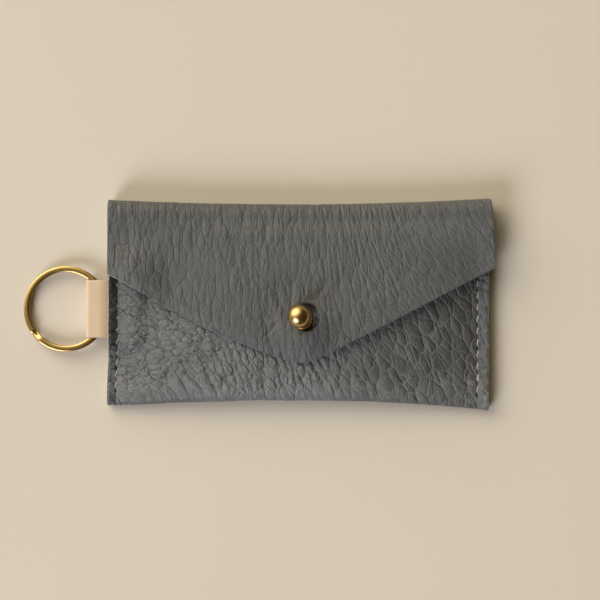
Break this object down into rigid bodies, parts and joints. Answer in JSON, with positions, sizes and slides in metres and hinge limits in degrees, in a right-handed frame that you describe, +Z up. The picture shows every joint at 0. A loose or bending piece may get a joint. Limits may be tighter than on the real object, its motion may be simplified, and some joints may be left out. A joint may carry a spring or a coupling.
{
  "type": "keyring card holder",
  "caption": "Flat folded leather card holder with a pointed flap over a ball stud, side seams sewn by hand, and a split key ring on a sewn leather tab.",
  "frame": {"origin": "on the resting face, under the middle of the body's width and height", "axes": "+X along the width, away from the ring; +Y towards the top fold; +Z up out of the front, towards the stud"},
  "size_m": [0.137, 0.0615, 0.0172],
  "materials": {
    "hide": "pebbled grey leather, cut edges raw",
    "tab_leather": "smooth undyed vegetable-tanned leather",
    "ring_brass": "polished brass plating",
    "stud_brass": "polished brass",
    "thread": "waxed cream thread"
  },
  "bodies": {
    "pocket": {"back_panel": "hide", "bottom_fold": "hide", "front_panel": "hide", "top_fold": "hide", "key_tab_lower_tail": "tab_leather", "key_tab_upper_tail": "tab_leather", "stud_head": "stud_brass", "stud_screw": "stud_brass", "left_seam_thread": "thread", "right_seam_thread": "thread"},
    "flap": {"flap": "hide"},
    "key_tab": {"key_tab_loop": "tab_leather"},
    "key_ring": {"split_ring": "ring_brass"}
  },
  "joints": [
    {"name": "flap_hinge", "type": "hinge", "parent": "pocket", "child": "flap", "pos_m": [0, 0.0236, 0.0045], "axis": [-1, 0, 0], "range_deg": [0, 165], "deforming": ["top_fold"]},
    {"name": "tab_bend", "type": "hinge", "parent": "pocket", "child": "key_tab", "pos_m": [-0.05651, -0.0019, 0.00329], "axis": [0, 1, 0], "range_deg": [-75, 75], "stiffness_Nm_per_rad": 0.01, "deforming": ["key_tab_loop"]},
    {"name": "ring_spin", "type": "hinge", "parent": "key_tab", "child": "key_ring", "pos_m": [-0.0678, -0.0019, 0.00216], "axis": [-0.0992, 0, 0.9951], "continuous": true}
  ]
}
